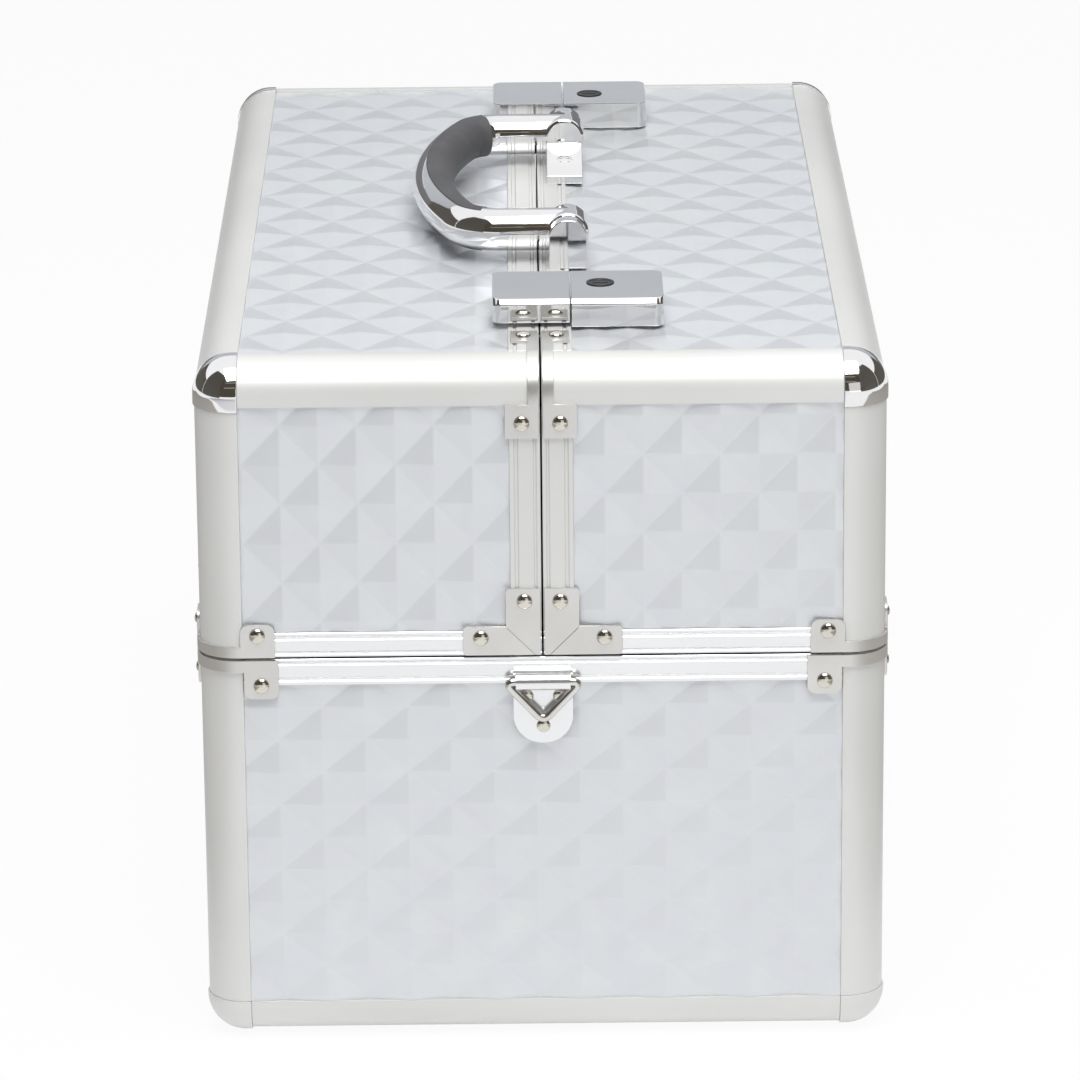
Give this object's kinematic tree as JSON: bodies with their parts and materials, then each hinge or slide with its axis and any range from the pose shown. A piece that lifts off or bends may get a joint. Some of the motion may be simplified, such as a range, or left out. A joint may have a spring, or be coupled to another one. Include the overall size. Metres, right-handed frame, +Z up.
{
  "type": "makeup train case",
  "caption": "Box-shaped makeup train case with twin outward-opening lids, embossed diamond panels, rounded aluminium rails, folding top handle, latches, strap rings and cantilever trays inside",
  "frame": {"origin": "centre of the footprint, on the surface the case stands on", "axes": "+Z up, +Y along the length of the case towards the back end, +X to the right seen from the front end with the upright lid seam; the handle is fixed on the +X lid"},
  "size_m": [0.2254, 0.3872, 0.241],
  "materials": {
    "panel_skin": "pearl silver-white, embossed diamonds, soft sheen",
    "bottom_board": "dark grained sheet",
    "rail_aluminium": "satin anodised",
    "nickel": "bright nickel plate",
    "chrome": "mirror chrome plate",
    "grip": "dark grey, fine matte",
    "lock_core": "black",
    "lining": "black flocked fabric",
    "tray": "black moulded tray"
  },
  "bodies": {
    "base": {"base_end_panels": "panel_skin", "base_side_panels": "panel_skin", "base_bottom_panel": "bottom_board", "base_corner_posts": "rail_aluminium", "base_bottom_rails": "rail_aluminium", "base_rim_rails": "rail_aluminium", "base_bottom_corners": "rail_aluminium", "base_rim_brackets": "nickel", "base_strap_plates": "nickel", "base_rivets": "nickel", "base_hinge_leaves": "nickel", "base_arm_studs": "nickel", "base_lining": "lining"},
    "right_lid": {"right_lid_end_panels": "panel_skin", "right_lid_side_panel": "panel_skin", "right_lid_top_panel": "panel_skin", "right_lid_edge_rails": "rail_aluminium", "right_lid_rim_rails": "rail_aluminium", "right_lid_seam_rails": "rail_aluminium", "right_lid_brackets": "nickel", "right_lid_rivets": "nickel", "right_lid_hinge_leaves": "nickel", "right_lid_tray_pins": "nickel", "right_lid_ball_corners": "chrome", "right_lid_lock_bodies": "chrome", "right_lid_lining": "lining", "handle_brackets": "chrome"},
    "left_lid": {"left_lid_end_panels": "panel_skin", "left_lid_side_panel": "panel_skin", "left_lid_top_panel": "panel_skin", "left_lid_edge_rails": "rail_aluminium", "left_lid_rim_rails": "rail_aluminium", "left_lid_seam_rails": "rail_aluminium", "left_lid_brackets": "nickel", "left_lid_rivets": "nickel", "left_lid_hinge_leaves": "nickel", "left_lid_tray_pins": "nickel", "left_lid_ball_corners": "chrome", "left_lid_hasp_plates": "chrome", "left_lid_lining": "lining"},
    "handle": {"handle_bow": "chrome", "handle_grip": "grip"},
    "hasp_front": {"hasp_front": "chrome"},
    "hasp_back": {"hasp_back": "chrome"},
    "lock_front": {"lock_cylinder_front": "lock_core"},
    "lock_back": {"lock_cylinder_back": "lock_core"},
    "ring_front": {"strap_ring_front": "nickel"},
    "ring_back": {"strap_ring_back": "nickel"},
    "right_arm_a": {"right_arm_a": "nickel"},
    "right_arm_b": {"right_arm_b": "nickel"},
    "right_lower_tray": {"right_lower_tray": "tray", "right_lower_tray_studs": "nickel"},
    "right_upper_tray": {"right_upper_tray": "tray", "right_upper_tray_studs": "nickel"},
    "left_arm_a": {"left_arm_a": "nickel"},
    "left_arm_b": {"left_arm_b": "nickel"},
    "left_lower_tray": {"left_lower_tray": "tray", "left_lower_tray_studs": "nickel"},
    "left_upper_tray": {"left_upper_tray": "tray", "left_upper_tray_studs": "nickel"}
  },
  "joints": [
    {"name": "right_lid_hinge", "type": "hinge", "parent": "base", "child": "right_lid", "pos_m": [0.1105, 0, 0.1283], "axis": [0, 1, 0], "range_deg": [0, 90]},
    {"name": "left_lid_hinge", "type": "hinge", "parent": "base", "child": "left_lid", "pos_m": [-0.1105, 0, 0.1283], "axis": [0, -1, 0], "range_deg": [0, 90]},
    {"name": "right_arm_a_pivot", "type": "hinge", "parent": "base", "child": "right_arm_a", "pos_m": [0.062, 0, 0.122], "axis": [0, 1, 0], "range_deg": [0, 90]},
    {"name": "right_arm_b_pivot", "type": "hinge", "parent": "base", "child": "right_arm_b", "pos_m": [0.085, 0, 0.122], "axis": [0, 1, 0], "range_deg": [0, 90]},
    {"name": "right_lower_tray_pivot", "type": "hinge", "parent": "right_arm_a", "child": "right_lower_tray", "pos_m": [0.036, 0, 0.144], "axis": [0, 1, 0], "range_deg": [-90, 0]},
    {"name": "right_upper_tray_pivot", "type": "hinge", "parent": "right_arm_a", "child": "right_upper_tray", "pos_m": [0.01, 0, 0.166], "axis": [0, 1, 0], "range_deg": [-90, 0]},
    {"name": "left_arm_a_pivot", "type": "hinge", "parent": "base", "child": "left_arm_a", "pos_m": [-0.062, 0, 0.122], "axis": [0, -1, 0], "range_deg": [0, 90]},
    {"name": "left_arm_b_pivot", "type": "hinge", "parent": "base", "child": "left_arm_b", "pos_m": [-0.085, 0, 0.122], "axis": [0, -1, 0], "range_deg": [0, 90]},
    {"name": "left_lower_tray_pivot", "type": "hinge", "parent": "left_arm_a", "child": "left_lower_tray", "pos_m": [-0.036, 0, 0.144], "axis": [0, -1, 0], "range_deg": [-90, 0]},
    {"name": "left_upper_tray_pivot", "type": "hinge", "parent": "left_arm_a", "child": "left_upper_tray", "pos_m": [-0.01, 0, 0.166], "axis": [0, -1, 0], "range_deg": [-90, 0]},
    {"name": "handle_fold", "type": "hinge", "parent": "right_lid", "child": "handle", "pos_m": [0.0098, 0, 0.234], "axis": [0, 1, 0], "range_deg": [0, 180]},
    {"name": "hasp_front_lift", "type": "hinge", "parent": "left_lid", "child": "hasp_front", "pos_m": [-0.0123, -0.12685, 0.2278], "axis": [0, -1, 0], "range_deg": [0, 90]},
    {"name": "lock_front_turn", "type": "hinge", "parent": "right_lid", "child": "lock_front", "pos_m": [0.0195, -0.12685, 0.23], "axis": [0, 0, 1], "range_deg": [0, 90]},
    {"name": "ring_front_swing", "type": "hinge", "parent": "base", "child": "ring_front", "pos_m": [0, -0.191, 0.121], "axis": [-1, 0, 0], "range_deg": [0, 150]},
    {"name": "hasp_back_lift", "type": "hinge", "parent": "left_lid", "child": "hasp_back", "pos_m": [-0.0123, 0.12685, 0.2278], "axis": [0, -1, 0], "range_deg": [0, 90]},
    {"name": "lock_back_turn", "type": "hinge", "parent": "right_lid", "child": "lock_back", "pos_m": [0.0195, 0.12685, 0.23], "axis": [0, 0, 1], "range_deg": [0, 90]},
    {"name": "ring_back_swing", "type": "hinge", "parent": "base", "child": "ring_back", "pos_m": [0, 0.191, 0.121], "axis": [1, 0, 0], "range_deg": [0, 150]}
  ],
  "couplings": [
    {"joint": "left_lid_hinge", "follows": "right_lid_hinge", "ratio": 1},
    {"joint": "right_arm_a_pivot", "follows": "right_lid_hinge", "ratio": 1},
    {"joint": "right_arm_b_pivot", "follows": "right_lid_hinge", "ratio": 1},
    {"joint": "right_lower_tray_pivot", "follows": "right_lid_hinge", "ratio": -1},
    {"joint": "right_upper_tray_pivot", "follows": "right_lid_hinge", "ratio": -1},
    {"joint": "left_arm_a_pivot", "follows": "right_lid_hinge", "ratio": 1},
    {"joint": "left_arm_b_pivot", "follows": "right_lid_hinge", "ratio": 1},
    {"joint": "left_lower_tray_pivot", "follows": "right_lid_hinge", "ratio": -1},
    {"joint": "left_upper_tray_pivot", "follows": "right_lid_hinge", "ratio": -1}
  ]
}
